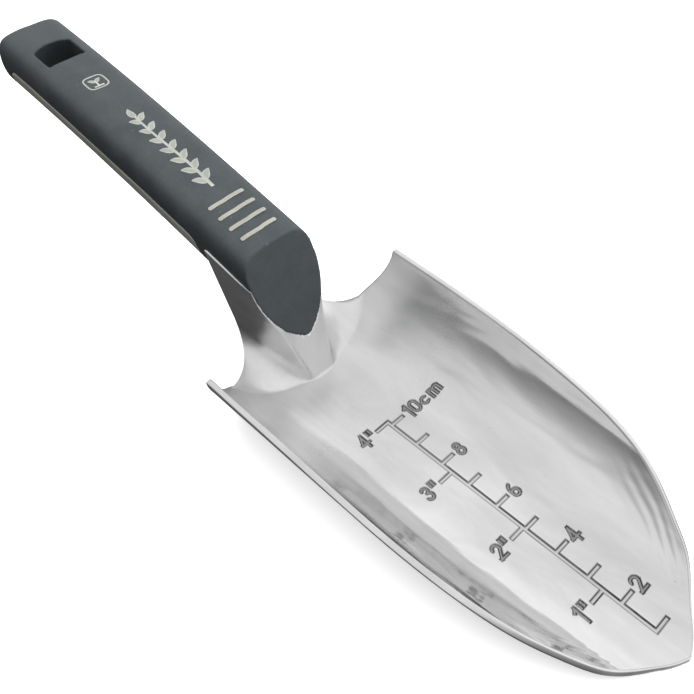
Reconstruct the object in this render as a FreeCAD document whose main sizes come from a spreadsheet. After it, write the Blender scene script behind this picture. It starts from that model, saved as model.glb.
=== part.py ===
import FreeCAD, Part
import math
import os
from FreeCAD import Vector, Placement, Rotation

# Hand trowel: one cast aluminium blade with its neck and tang, a hard plastic handle core
# round the tang, and a soft grip moulded over the core.
# Frame: +X to the blade's point, +Z up, millimetres. The flat of the blade lies on Z = 0
# and the origin is under the middle of the overall length.

doc = FreeCAD.newDocument("hand_trowel")
sheet = doc.addObject("Spreadsheet::Sheet", "Sizes")

SIZES = [
    # blade
    ("blade_gauge", 1.9, "thickness of the cast plate"),
    ("sole_grinding", 0.15, "ground off the underside, which leaves a flat sole"),
    ("tip_x", 140.4, "X of the blade's point"),
    ("point_narrowing", 0.26, "the trough is this share narrower at the point"),
    ("narrowing_reach", 75.0, "behind the point, where the narrowing has faded out"),
    ("scale_gap", 0.6, "the scale's zero lies this far beyond the worn point"),
    # engraved depth scale
    ("scale_centimetres", 10, "centimetre ticks"),
    ("scale_inches", 4, "inch ticks"),
    ("engrave_depth", 0.5, "depth of every engraved mark"),
    ("stroke_width", 1.1, "width of the scale's lines"),
    ("tick_length", 4.5, "length of a tick beyond the spine"),
    # neck, measured from the blade's upper face
    ("nose_behind", 129.9, "scale's zero to the foot of the neck's front"),
    ("neck_half_width", 13.3, "beyond this, the neck's web ends at the blade's rear edge"),
    ("lean_angle", 22.0, "lean of the neck and of the grip's front face, from vertical"),
    ("neck_depth", 19.0, "neck, front to back"),
    ("relief_width", 15.0, "hollow in the back of the neck"),
    ("relief_depth", 11.5, "hollow in the back of the neck"),
    ("relief_low", 1.5, "bottom of the hollow, above the floor"),
    ("relief_high", 25.0, "top of the hollow at its deepest, above the floor"),
    ("relief_corner", 3.0, "rounding of the hollow's upright corners"),
    # handle, along its own line
    ("handle_behind", 153.8, "scale's zero to the first rib, where the handle line starts"),
    ("handle_z", 47.8, "height of the handle line's start"),
    ("handle_rise", 12.2, "slope of the handle line, degrees"),
    ("handle_length", 126.0, "first rib to the handle's end"),
    ("end_radius", 4.0, "rounding of the handle's far end"),
    ("parting_depth", 9.0, "depth of the line between grip and casting or core"),
    ("grip_wall", 3.0, "thickness of the soft grip over the core"),
    ("flap_thickness", 3.2, "the grip's flap in front of the neck"),
    ("tang_length", 62.0, "reach of the tang behind the first rib"),
    ("tang_width", 12.0, "tang, across"),
    ("tang_height", 6.0, "tang, up and down"),
    ("tang_root", 6.0, "the tang starts this far ahead of the first rib, inside the neck"),
    ("tang_cover", 1.5, "neck left over the tang, below the parting"),
    ("hole_start", 98.6, "front edge of the hanging hole, behind the first rib"),
    ("hole_length", 9.7, "hanging hole along the handle, at its sides"),
    ("hole_arch", 1.9, "the hole's rear edge bows out this much in the middle"),
    ("hole_width", 13.7, "hanging hole across the handle"),
    ("hole_lining", 2.0, "soft lining round the hanging hole"),
    ("rib_count", 4, "ribs showing through the grip"),
    ("rib_pitch", 4.96, "rib spacing"),
    ("rib_length", 13.6, "rib, across the handle"),
    ("rib_width", 1.25, "rib, along the handle"),
    ("rib_sink", 0.35, "rib tops lie this far below the handle line"),
    ("rib_height", 4.0, "rib, from its top down into the core"),
    ("panel_round", 5.0, "rounded lower ends of the core's bare panel"),
]
for row, (alias, value, note) in enumerate(SIZES, start=1):
    sheet.set("A%d" % row, alias)
    sheet.set("B%d" % row, str(value))
    sheet.set("C%d" % row, note)
    sheet.setAlias("B%d" % row, alias)
doc.recompute()


def size(alias):
    return float(sheet.get(alias))


def solid_feature(name, shape):
    """A free-form solid that no parametric feature describes."""
    feature = doc.addObject("Part::Feature", name)
    feature.Shape = shape
    return feature


def box(name, length, width, height):
    """A Part::Box whose three sides are bound to the sheet."""
    made = doc.addObject("Part::Box", name)
    for side, rule in (("Length", length), ("Width", width), ("Height", height)):
        made.setExpression(side, rule)
    doc.recompute()
    return made


def curve_through(points, **options):
    curve = Part.BSplineCurve()
    curve.interpolate([Vector(*p) for p in points], **options)
    return curve


def value_at(table, key):
    """Straight-line reading of a short table of (key, value) pairs."""
    for (k0, v0), (k1, v1) in zip(table, table[1:]):
        if key <= k1:
            return v0 + (v1 - v0) * (key - k0) / (k1 - k0)
    return table[-1][1]


GAUGE = size("blade_gauge")
ZERO_X = size("tip_x") + size("scale_gap")

# ---------------------------------------------------------------- blade
# The blade is a pattern laid on one trough section, which narrows towards the point: half the
# section as (across, rise), and half the pattern as (behind the point, girth from the centre line).
TROUGH = [(0, 0), (9, 0.02), (17.5, 1.5), (26, 6.9), (32.2, 13.6), (35.2, 19.2), (36.5, 23.0), (36.9, 26.5)]
PATTERN = [(0, 0.4), (2.2, 6.4), (5.2, 11.8), (9.9, 19.3), (15, 25.6), (20, 29.2), (30, 35.4), (40, 39.7),
           (50, 42.2), (60, 43.8), (80, 46.4), (100, 48.1), (134, 49.5), (160, 50.2)]
# Rear edge of the blade in plan: (behind the point, across).
REAR_EDGE = [(133.9, 44), (134.2, 37.5), (137.4, 32.5), (141.2, 26.0), (142.3, 21.8),
             (145.2, 18.0), (148.4, 13.5)]
GIRTH_PARTS = 8
NARROWING_POWER = 2.2

half_section = [(0, y, z) for y, z in TROUGH]
section = curve_through([(0, -y, z) for _, y, z in reversed(half_section[1:])] + half_section)
CENTRE = section.toShape().Length / 2


def narrowing(behind):
    """Share of the section's width that is left at a distance behind the point."""
    ahead = max(0.0, 1 - behind / size("narrowing_reach"))
    return 1 - size("point_narrowing") * ahead ** NARROWING_POWER


def wrapped(behind, girth):
    """A point of the blade's upper face."""
    at = section.value(section.parameterAtDistance(CENTRE + girth, section.FirstParameter))
    return Vector(size("tip_x") - behind, at.y * narrowing(behind), at.z + GAUGE)


rows = []
for behind, girth in PATTERN:
    rows.append([wrapped(behind, girth * k / GIRTH_PARTS) for k in range(-GIRTH_PARTS, GIRTH_PARTS + 1)])
upper = Part.BSplineSurface()
upper.interpolate(rows)
upper_face = upper.toShape()


OFFSET_TOLERANCE = 0.001


def plate_below(face, thickness, name):
    """The solid between the blade's upper face and its offset downwards."""
    for sign in (-1, 1):
        made = face.makeOffsetShape(sign * thickness, OFFSET_TOLERANCE, fill=True)
        if made.BoundBox.ZMin < GAUGE - thickness / 2:
            if made.ShapeType != "Solid":
                made = Part.makeSolid(made.Shells[0])
            if made.Volume < 0:
                made.reverse()
            return solid_feature(name, made)
    raise RuntimeError("plate offset failed")


plate = plate_below(upper_face, GAUGE + size("sole_grinding"), "plate")
skin = plate_below(upper_face, size("engrave_depth"), "engraving_layer")

# Everything behind the rear edge is trimmed off, and everything below the sole.
CLEAR = 60                      # reach of a cutting block beyond what it cuts
edge = [(size("tip_x") - b, y, 0) for b, y in REAR_EDGE]
right_edge = curve_through(edge).toShape()
left_edge = curve_through([(x, -y, z) for x, y, z in edge]).toShape()
corner, inner_end = Vector(*edge[0]), Vector(*edge[-1])
behind_all = Vector(corner.x - CLEAR, corner.y, 0)


def mirrored(point):
    return Vector(point.x, -point.y, point.z)


outline = Part.Wire(Part.__sortEdges__([
    right_edge, left_edge,
    Part.makeLine(inner_end, mirrored(inner_end)),
    Part.makeLine(corner, behind_all),
    Part.makeLine(behind_all, mirrored(behind_all)),
    Part.makeLine(mirrored(behind_all), mirrored(corner))]))
trim = solid_feature("rear_trim", Part.Face(outline).extrude(Vector(0, 0, CLEAR)))
trim.Placement = Placement(Vector(0, 0, -CLEAR / 4), Rotation())
under_sole = box("under_sole", "240 mm", "100 mm", "10 mm")
under_sole.Placement = Placement(Vector(-CLEAR, -50, -10), Rotation())
waste = doc.addObject("Part::MultiFuse", "blade_waste")
waste.Shapes = [trim, under_sole]
blade = doc.addObject("Part::Cut", "blade_plate")
blade.Base, blade.Tool = plate, waste

# ---------------------------------------------------------------- neck
# Level slices of the neck: height above the floor, how far the foot spreads ahead of the
# leaning front, half width there, then half widths at the SLICE_STEPS behind the front.
SLICE_STEPS = (5.5, 12.0, size("neck_depth"))
NECK_SLICES = [
    (-1.2, 3.4, 5.2, 10.5, 18.0, 21.0),
    (0.6, 1.6, 4.6, 9.8, 17.2, 20.0),
    (3, 0.4, 4.8, 9.0, 15.5, 18.0),
    (8, 0, 5.9, 8.9, 13.0, 15.0),
    (14, 0, 7.2, 9.7, 12.2, 13.3),
    (20, 0, 8.8, 10.9, 12.6, 13.2),
    (26, 0, 11.1, 12.1, 12.9, 13.2),
    (32, 0, 12.7, 13.0, 13.15, 13.25),
    (42, 0, 13.1, 13.15, 13.2, 13.25),
]
LEAN = math.radians(size("lean_angle"))


def neck_front(height):
    return ZERO_X - size("nose_behind") - height * math.tan(LEAN)


def neck_slice(height, spread, front, *widths):
    """One level outline of the neck."""
    x0, z = neck_front(height), height + GAUGE
    side = [(-spread, front)] + list(zip(SLICE_STEPS, widths))
    right = curve_through([(x0 - b, w, z) for b, w in side]).toShape()
    left = curve_through([(x0 - b, -w, z) for b, w in reversed(side)]).toShape()
    rear_corner, nose_corner = Vector(x0 - side[-1][0], widths[-1], z), Vector(x0 + spread, front, z)
    back = Part.makeLine(rear_corner, mirrored(rear_corner))
    nose = Part.makeLine(mirrored(nose_corner), nose_corner)
    return Part.Wire([right, back, left, nose])


neck_block = solid_feature("neck_block", Part.makeLoft([neck_slice(*s) for s in NECK_SLICES], True))
# Beyond its own width the neck's foot ends where the blade does.
neck_lane = box("neck_lane", "200 mm", "2 * Sizes.neck_half_width", "200 mm")
neck_lane.Placement = Placement(Vector(-150, -size("neck_half_width"), -100), Rotation())
web_trim = doc.addObject("Part::Cut", "web_trim")
web_trim.Base, web_trim.Tool = trim, neck_lane
neck = doc.addObject("Part::Cut", "neck_with_web")
neck.Base, neck.Tool = neck_block, web_trim

# Handle line: start, direction to the rear, and the downward normal.
RISE = math.radians(size("handle_rise"))
START = Vector(ZERO_X - size("handle_behind"), 0, size("handle_z"))
REARWARD = Vector(-math.cos(RISE), 0, math.sin(RISE))
DOWN = Vector(-math.sin(RISE), 0, -math.cos(RISE))


def on_handle(along, across, down):
    return START + REARWARD * along + DOWN * down + Vector(0, across, 0)


# Local x of a box placed this way runs rearward, local z runs up off the handle.
HANDLE_TURN = Rotation(REARWARD, Vector(0, -1, 0), DOWN * -1, "XYZ")


def handle_box(name, length, width, height, along, down):
    """A box across the handle, its front at `along` and its bottom at depth `down`."""
    made = box(name, length, width, height)
    corner = on_handle(along, made.Width.Value / 2, down)
    made.Placement = Placement(corner, HANDLE_TURN)
    return made


above = handle_box("above_parting", "120 mm", "60 mm", "60 mm", -CLEAR, size("parting_depth"))
neck_cut = doc.addObject("Part::Cut", "neck_under_parting")
neck_cut.Base, neck_cut.Tool = neck, above

# Hollow in the back of the neck, leaning with it.
low, high = size("relief_low"), size("relief_high")
open_side = size("neck_depth") + 2
deepest = size("neck_depth") - size("relief_depth")
# The hollow's profile from the side: (height above the floor, behind the neck's front).
HOLLOW = [(low, open_side), (low, deepest), (high, deepest + 2.5), (high + 3, open_side)]
corners = [Vector(neck_front(h) - b, -size("relief_width") / 2, h + GAUGE) for h, b in HOLLOW]
relief = solid_feature("neck_relief", Part.Face(Part.makePolygon(corners + corners[:1])).extrude(
    Vector(0, size("relief_width"), 0)))


def runs_up_the_hollow(line):
    ends = [v.Point for v in line.Vertexes]
    level = abs(ends[0].y - ends[-1].y) > 0.01
    at = line.CenterOfMass
    return not level and at.x > neck_front(at.z) - deepest - 4


relief.Shape = relief.Shape.makeFillet(size("relief_corner"),
                                       [e for e in relief.Shape.Edges if runs_up_the_hollow(e)])
neck_hollowed = doc.addObject("Part::Cut", "neck_hollowed")
neck_hollowed.Base, neck_hollowed.Tool = neck_cut, relief

tang = handle_box("tang", "Sizes.tang_length + Sizes.tang_root", "Sizes.tang_width", "Sizes.tang_height",
                  -size("tang_root"),
                  size("parting_depth") + size("tang_cover") + size("tang_height"))
rough = doc.addObject("Part::MultiFuse", "casting_blank")
rough.Shapes = [blade, neck_hollowed, tang]

# ---------------------------------------------------------------- engraved depth scale
# Strokes lie on the floor: bars between two points, and round arcs. A mark's own plan has
# x to the right of the reader and y up, with the reader standing at the blade's point.


def bar(p, q, width):
    p, q = Vector(p[0], p[1], 0), Vector(q[0], q[1], 0)
    run = (q - p).normalize() * (width / 2)
    side = Vector(-run.y, run.x, 0)
    ring = [p - run + side, q + run + side, q + run - side, p - run - side]
    return Part.Face(Part.makePolygon(ring + ring[:1]))


def arc(centre, radius, start, end, width):
    outer = Part.makeCylinder(radius + width / 2, 1, Vector(*centre, 0), Vector(0, 0, 1), end - start)
    inner = Part.makeCylinder(radius - width / 2, 1, Vector(*centre, 0))
    swept = outer.cut(inner)
    swept.rotate(Vector(*centre, 0), Vector(0, 0, 1), start)
    return [f for f in swept.Faces if abs(f.CenterOfMass.z) < 1e-6][0]


PEN = 0.75
GLYPHS = {
    "1": lambda: [bar((1.6, 0.4), (1.6, 4.4), PEN), bar((0.8, 3.7), (1.5, 4.35), PEN)],
    "2": lambda: [arc((1.5, 3.3), 1.1, -20, 170, PEN), bar((2.5, 2.8), (0.5, 0.5), PEN),
                  bar((0.5, 0.5), (2.6, 0.5), PEN)],
    "3": lambda: [arc((1.5, 3.45), 0.95, -90, 150, PEN), arc((1.5, 1.45), 1.05, -150, 90, PEN)],
    "4": lambda: [bar((2.1, 0.4), (2.1, 4.4), PEN), bar((2.1, 4.4), (0.4, 1.5), PEN),
                  bar((0.4, 1.5), (2.9, 1.5), PEN)],
    "6": lambda: [arc((1.5, 1.5), 1.1, 0, 360, PEN), arc((2.9, 1.9), 2.5, 115, 180, PEN)],
    "8": lambda: [arc((1.5, 3.5), 0.85, 0, 360, PEN), arc((1.5, 1.45), 1.05, 0, 360, PEN)],
    "0": lambda: [arc((1.5, 3.2), 1.1, 0, 180, PEN), arc((1.5, 1.6), 1.1, 180, 360, PEN),
                  bar((0.4, 1.6), (0.4, 3.2), PEN), bar((2.6, 1.6), (2.6, 3.2), PEN)],
    "c": lambda: [arc((1.5, 1.6), 1.15, 50, 310, PEN)],
    "m": lambda: [bar((0.5, 0.4), (0.5, 2.7), PEN), bar((2.1, 0.4), (2.1, 2.0), PEN),
                  bar((3.7, 0.4), (3.7, 2.0), PEN), arc((1.3, 1.95), 0.8, 0, 180, PEN),
                  arc((2.9, 1.95), 0.8, 0, 180, PEN)],
    '"': lambda: [bar((0.5, 3.4), (0.5, 4.4), 0.6), bar((1.6, 3.4), (1.6, 4.4), 0.6)],
}
USUAL_ADVANCE = 3.6
ADVANCE = {"1": 2.9, "m": 4.8, '"': 2.2}
FIGURE_MIDDLE = 2.4             # half the height of a figure


def label_faces(text, behind, across):
    """Marks read across the blade, their tops to the handle."""
    made, pen_at = [], across
    for mark in text:
        for face in GLYPHS[mark]():
            face.rotate(Vector(), Vector(0, 0, 1), 90)
            face.translate(Vector(ZERO_X - behind + FIGURE_MIDDLE, pen_at, 0))
            made.append(face)
        pen_at += ADVANCE.get(mark, USUAL_ADVANCE)
    return made


stroke, tick = size("stroke_width"), size("tick_length")
INCH = 25.4
LABEL_GAP = 1.5                 # from a tick's end to its figure
LABEL_WIDTH = {1: 5.2}          # an inch label's width, where it isn't the usual one
USUAL_WIDTH = 5.9
marks = [bar((ZERO_X - 10, 0), (ZERO_X - size("scale_inches") * INCH, 0), stroke)]
for n in range(1, int(size("scale_centimetres")) + 1):
    marks.append(bar((ZERO_X - 10 * n, 0), (ZERO_X - 10 * n, tick), stroke))
for n in range(1, int(size("scale_inches")) + 1):
    marks.append(bar((ZERO_X - INCH * n, 0), (ZERO_X - INCH * n, -tick), stroke))
for n in (2, 4, 6, 8):
    marks += label_faces(str(n), 10 * n, tick + LABEL_GAP)
marks += label_faces("10cm", 100, tick + LABEL_GAP)
for n in range(1, int(size("scale_inches")) + 1):
    marks += label_faces("%d\"" % n, INCH * n, -tick - LABEL_GAP - LABEL_WIDTH.get(n, USUAL_WIDTH))
STAMP_BELOW, STAMP_HEIGHT = 2, 12
for face in marks:
    face.translate(Vector(0, 0, GAUGE - STAMP_BELOW))
prisms = [face.extrude(Vector(0, 0, STAMP_HEIGHT)) for face in marks]
stamps = solid_feature("scale_marks", prisms[0].multiFuse(prisms[1:]))
engraving = doc.addObject("Part::Common", "engraving")
engraving.Base, engraving.Tool = skin, stamps

# ---------------------------------------------------------------- handle
# Half of the handle's egg-shaped section as (across, down from the handle line).
EGG = [(0, 0), (6.8, 0.25), (10.8, 1.7), (12.4, 4.6), (12.75, 8.2), (12.3, 12.6), (10.6, 17.0),
       (6.6, 20.4), (0, 21.6)]
# The handle bows down along its length: (behind the first rib, drop).
BOW = [(-30, 0), (30, 0), (65, 0.6), (103, 2.4), (130, 4.4)]


WAIST = 10.4                    # depth of the point that a smaller section shrinks towards
WIDEST = 12.75


def egg_wire(along, scale=1.0):
    drop = value_at(BOW, along)
    half = [(y * scale, WAIST + (d - WAIST) * scale + drop) for y, d in EGG]
    ring = half + [(-y, d) for y, d in reversed(half[1:-1])]
    points = [tuple(on_handle(along, y, d)) for y, d in ring]
    return Part.Wire(curve_through(points, PeriodicFlag=True).toShape())


def handle_loft(name, stations, scale=1.0):
    return solid_feature(name, Part.makeLoft([egg_wire(s, scale) for s in stations], True))


END = size("handle_length")
STATIONS = (-30, 0, 30, 65, 103, END)
form = handle_loft("handle_form", STATIONS)
end_edges = [e for e in form.Shape.Edges
             if abs((e.CenterOfMass - START).dot(REARWARD) - END) < 0.1]
form.Shape = form.Shape.makeFillet(size("end_radius"), end_edges)

# The front face is a flat shield, leaning with the neck: (up the face, half width).
SHIELD = [(12.6, 0), (13.4, 1.9), (15.2, 4.2), (18.4, 7.2), (22, 9.35), (26.8, 11.25), (31.6, 12.3),
          (36.4, 12.6), (39.6, 12.2), (41.9, 11.0), (43.3, 8.6), (44.1, 4.5), (44.3, 0)]
FACE_UP = Vector(-math.sin(LEAN), 0, math.cos(LEAN))
FACE_OUT = Vector(math.cos(LEAN), 0, math.sin(LEAN))
FACE_FOOT = Vector(neck_front(0), 0, GAUGE)
FACE_SLIDE = 30 * (1 / math.cos(LEAN) - 1)      # face heights agree with levels 30 above the floor
KEEL_TOP = 37


def on_face(up, across):
    return FACE_FOOT + FACE_UP * (up + FACE_SLIDE) + Vector(0, across, 0)


in_front = box("ahead_of_face", "80 mm", "80 mm", "80 mm")
block_half = in_front.Width.Value / 2
in_front.Placement = Placement(on_face(KEEL_TOP - block_half, -block_half),
                               Rotation(FACE_OUT, Vector(0, 1, 0), FACE_UP, "XYZ"))
handle_cut = doc.addObject("Part::Cut", "handle_faced")
handle_cut.Base, handle_cut.Tool = form, in_front

# The keel half of the shield goes down in front of the neck as a thick flap.
keel = [(u, w) for u, w in SHIELD if u < KEEL_TOP]
keel_curve = curve_through([tuple(on_face(u, w)) for u, w in reversed(keel)] +
                           [tuple(on_face(u, -w)) for u, w in keel[1:]])
top_line = Part.makeLine(on_face(keel[-1][0], -keel[-1][1]), on_face(*keel[-1]))
flap = solid_feature("keel_flap", Part.Face(Part.Wire([keel_curve.toShape(), top_line])).extrude(
    FACE_OUT * -size("flap_thickness")))
envelope = doc.addObject("Part::MultiFuse", "handle_envelope")
envelope.Shapes = [handle_cut, flap]

HOLE_DEPTH = 40                 # the hole's tools start this far below the handle line
hole_end = size("hole_start") + size("hole_length")
side = size("hole_width") / 2
front_left, front_right, rear_right, rear_left = [
    on_handle(s, y, HOLE_DEPTH) for s, y in ((size("hole_start"), -side), (size("hole_start"), side),
                                             (hole_end, side), (hole_end, -side))]
arch = Part.Arc(rear_right, on_handle(hole_end + size("hole_arch"), 0, HOLE_DEPTH), rear_left)
hole_outline = Part.Wire([
    Part.makeLine(front_left, front_right), Part.makeLine(front_right, rear_right),
    arch.toShape(), Part.makeLine(rear_left, front_left)])
hole = solid_feature("hanging_hole", Part.Face(hole_outline).extrude(DOWN * -CLEAR))
lining = handle_box("hole_lining", "Sizes.hole_length + Sizes.hole_arch + 2 * Sizes.hole_lining",
                    "Sizes.hole_width + 2 * Sizes.hole_lining", "60 mm",
                    size("hole_start") - size("hole_lining"), HOLE_DEPTH)

# ---------------------------------------------------------------- casting
casting_flapped = doc.addObject("Part::Cut", "casting_under_flap")
casting_flapped.Base, casting_flapped.Tool = rough, flap
casting = doc.addObject("Part::Cut", "blade_casting")
casting.Base, casting.Tool = casting_flapped, engraving

# ---------------------------------------------------------------- core
# The core shows below the parting line, between two rounded ends.
CORE_START, CORE_END = -4, 108  # behind the first rib
thin = 1 - size("grip_wall") / WIDEST
inner = handle_loft("core_inside", STATIONS, thin)
reach = handle_box("core_reach", "%g mm" % (CORE_END - CORE_START), "60 mm", "60 mm", CORE_START, HOLE_DEPTH)
inside = doc.addObject("Part::Common", "core_inside_cut")
inside.Base, inside.Tool = inner, reach
PANEL = [(13.4, 30), (13.4, 9.2), (40, 9.2), (103, 11.6), (118.6, 12.8), (118.6, 34)]
HALF_BLOCK = 25                 # wider than the handle on each side
side_on = [on_handle(s, -HALF_BLOCK, d) for s, d in PANEL]
panel_solid = Part.Face(Part.makePolygon(side_on + side_on[:1])).extrude(Vector(0, 2 * HALF_BLOCK, 0))
ends = [e for e in panel_solid.Edges if abs(e.tangentAt(e.FirstParameter).y) > 0.9
        and any((e.CenterOfMass - on_handle(s, 0, d)).Length < 0.1 for s, d in (PANEL[1], PANEL[4]))]
zone = solid_feature("panel_zone", panel_solid.makeFillet(size("panel_round"), ends))
panel = doc.addObject("Part::Common", "core_panel")
panel.Base, panel.Tool = handle_cut, zone

ribs = []
rib_bottom = size("rib_height") + size("rib_sink")
for n in range(int(size("rib_count"))):
    middle = n * size("rib_pitch")
    ribs.append(handle_box("rib_%d" % n, "Sizes.rib_width", "Sizes.rib_length - Sizes.rib_width",
                           "Sizes.rib_height", middle - size("rib_width") / 2, rib_bottom))
    for side in (-1, 1):
        end = doc.addObject("Part::Cylinder", "rib_%d_end" % n)
        end.setExpression("Radius", "Sizes.rib_width / 2")
        end.setExpression("Height", "Sizes.rib_height")
        across = side * (size("rib_length") - size("rib_width")) / 2
        end.Placement = Placement(on_handle(middle, across, rib_bottom), HANDLE_TURN)
        ribs.append(end)
core_blank = doc.addObject("Part::MultiFuse", "core_blank")
core_blank.Shapes = [inside, panel] + ribs
core_lined = doc.addObject("Part::Cut", "core_lined")
core_lined.Base, core_lined.Tool = core_blank, lining
core = doc.addObject("Part::Cut", "handle_core")
core.Base, core.Tool = core_lined, rough

# ---------------------------------------------------------------- grip
grip_open = doc.addObject("Part::Cut", "grip_holed")
grip_open.Base, grip_open.Tool = envelope, hole
grip_cored = doc.addObject("Part::Cut", "grip_cored")
grip_cored.Base, grip_cored.Tool = grip_open, core
grip_cut = doc.addObject("Part::Cut", "grip_over_casting")
grip_cut.Base, grip_cut.Tool = grip_cored, casting

doc.recompute()
# One moulding: slivers left between touching skins are dropped.
grip = solid_feature("soft_grip", max(grip_cut.Shape.Solids, key=lambda part: part.Volume))
for item in doc.Objects:
    if "Invalid" in item.State or "Error" in item.State:
        raise RuntimeError("%s did not recompute" % item.Name)
    if hasattr(item, "Shape") and (item.Shape.isNull() or not item.Shape.isValid()):
        raise RuntimeError("%s has a bad shape" % item.Name)

os.makedirs("parts", exist_ok=True)
for piece in (casting, core, grip):
    piece.Label = piece.Name
    piece.Shape.exportStep("parts/%s.step" % piece.Name)
    print(piece.Name, piece.Shape.ShapeType, len(piece.Shape.Solids), round(piece.Shape.Volume, 1))
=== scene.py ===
import math

import bmesh
import bpy
import numpy as np
from mathutils import Matrix, Vector
from mathutils.bvhtree import BVHTree


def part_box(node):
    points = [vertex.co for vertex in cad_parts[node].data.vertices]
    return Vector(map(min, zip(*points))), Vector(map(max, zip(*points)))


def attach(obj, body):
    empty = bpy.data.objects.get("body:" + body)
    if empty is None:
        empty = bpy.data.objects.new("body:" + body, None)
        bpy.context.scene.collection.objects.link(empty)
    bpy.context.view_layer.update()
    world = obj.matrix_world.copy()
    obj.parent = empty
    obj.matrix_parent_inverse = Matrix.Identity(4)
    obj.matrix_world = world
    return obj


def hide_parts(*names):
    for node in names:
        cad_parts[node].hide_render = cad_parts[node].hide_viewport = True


# Hand trowel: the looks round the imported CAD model. Shapes are worked out in millimetres in the
# CAD frame (+X to the blade's point, +Z up, floor at Z = 0) and turned into metres at the end.
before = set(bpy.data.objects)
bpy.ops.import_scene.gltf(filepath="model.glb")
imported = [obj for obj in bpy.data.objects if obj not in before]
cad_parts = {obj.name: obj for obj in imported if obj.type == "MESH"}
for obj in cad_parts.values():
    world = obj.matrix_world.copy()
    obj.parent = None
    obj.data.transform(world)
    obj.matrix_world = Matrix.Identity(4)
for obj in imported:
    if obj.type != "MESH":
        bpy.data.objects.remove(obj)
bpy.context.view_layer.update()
MM = 0.001

GAUGE = 1.9             # plate thickness
SLOPE_AT_POINT = 0.82   # the CAD plate's leaning edge reaches this far ahead of its upper face
POINT_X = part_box("blade_casting")[1].x / MM - SLOPE_AT_POINT
ZERO_X = POINT_X + 0.6  # zero of the engraved scale
LEAN = math.radians(22)    # how far the neck's front leans back from upright
RISE = math.radians(12.2)  # slope of the handle towards its far end


# ------------------------------------------------------------------ curves and meshes
def natural_spline(keys, values, at):
    """Natural cubic through (keys, values), read at the keys in `at`."""
    keys, values = np.asarray(keys, float), np.asarray(values, float)
    count = len(keys)
    gap = np.diff(keys)
    slope = np.diff(values, axis=0) / gap.reshape(-1, *([1] * (values.ndim - 1)))
    system = np.eye(count)
    right = np.zeros_like(values)
    for i in range(1, count - 1):
        system[i, i - 1:i + 2] = gap[i - 1], 2 * (gap[i - 1] + gap[i]), gap[i]
        right[i] = 6 * (slope[i] - slope[i - 1])
    bend = np.linalg.solve(system, right.reshape(count, -1)).reshape(values.shape)
    at = np.clip(np.asarray(at, float), keys[0], keys[-1])
    i = np.clip(np.searchsorted(keys, at) - 1, 0, count - 2)
    lead = (1,) * (values.ndim - 1)
    a, b, h = ((at - keys[i]).reshape(-1, *lead), (keys[i + 1] - at).reshape(-1, *lead),
               gap[i].reshape(-1, *lead))
    return (bend[i] * b ** 3 / (6 * h) + bend[i + 1] * a ** 3 / (6 * h)
            + (values[i] / h - bend[i] * h / 6) * b + (values[i + 1] / h - bend[i + 1] * h / 6) * a)


def curve_through(points, count):
    """Evenly spread points on a smooth curve through the given ones."""
    points = np.asarray(points, float)
    chord = np.concatenate([[0], np.cumsum(np.linalg.norm(np.diff(points, axis=0), axis=1))])
    fine = natural_spline(chord, points, np.linspace(0, chord[-1], 1500))
    run = np.concatenate([[0], np.cumsum(np.linalg.norm(np.diff(fine, axis=0), axis=1))])
    even = np.linspace(0, run[-1], count)
    return np.stack([np.interp(even, run, fine[:, k]) for k in range(points.shape[1])], 1)


def read_table(table, key):
    table = np.asarray(table, float)
    return np.interp(key, table[:, 0], table[:, 1])


def smoothstep(x):
    x = np.clip(x, 0, 1)
    return x * x * (3 - 2 * x)


def unit(v):
    return v / np.maximum(np.linalg.norm(v, axis=-1, keepdims=True), 1e-12)


def grid_faces(rows, columns, first=0, flip=False):
    """Quads of a rows x columns block of vertices."""
    r, c = np.meshgrid(np.arange(rows - 1), np.arange(columns - 1), indexing="ij")
    a = first + r * columns + c
    quads = np.stack([a, a + 1, a + columns + 1, a + columns], -1).reshape(-1, 4)
    return quads[:, ::-1] if flip else quads


def make_object(name, points, faces, sharp_degrees):
    """A smooth-shaded mesh object from points in millimetres."""
    mesh = bpy.data.meshes.new(name)
    mesh.from_pydata((np.asarray(points) * MM).tolist(), [], [list(map(int, f)) for f in faces])
    mesh.update()
    mesh.shade_smooth()
    mesh.set_sharp_from_angle(angle=math.radians(sharp_degrees))
    made = bpy.data.objects.new(name, mesh)
    bpy.context.scene.collection.objects.link(made)
    return made


def face_outward(obj):
    """Turn every face of a closed mesh outward."""
    work = bmesh.new()
    work.from_mesh(obj.data)
    bmesh.ops.recalc_face_normals(work, faces=work.faces)
    work.to_mesh(obj.data)
    work.free()


def baked(source, name):
    """A new object that holds the source's mesh with its modifiers applied."""
    graph = bpy.context.evaluated_depsgraph_get()
    mesh = bpy.data.meshes.new_from_object(source.evaluated_get(graph))
    made = bpy.data.objects.new(name, mesh)
    bpy.context.scene.collection.objects.link(made)
    return made


# ------------------------------------------------------------------ blade surface
# The blade is a pattern laid on one trough section, which narrows towards the point: half the
# section as (across, rise), and half the pattern as (behind the point, girth from the centre line).
TROUGH = [(0, 0), (9, 0.02), (17.5, 1.5), (26, 6.9), (32.2, 13.6), (35.2, 19.2), (36.5, 23.0),
          (36.9, 26.5)]
PATTERN = [(0, 0.4), (2.2, 6.4), (5.2, 11.8), (9.9, 19.3), (15, 25.6), (20, 29.2), (30, 35.4), (40, 39.7),
           (50, 42.2), (60, 43.8), (80, 46.4), (100, 48.1), (134, 49.5), (160, 50.2)]
# At the point the section is narrower by this share, which fades out over the reach.
NARROWING, NARROWING_REACH, NARROWING_POWER = 0.26, 75.0, 2.2
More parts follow.
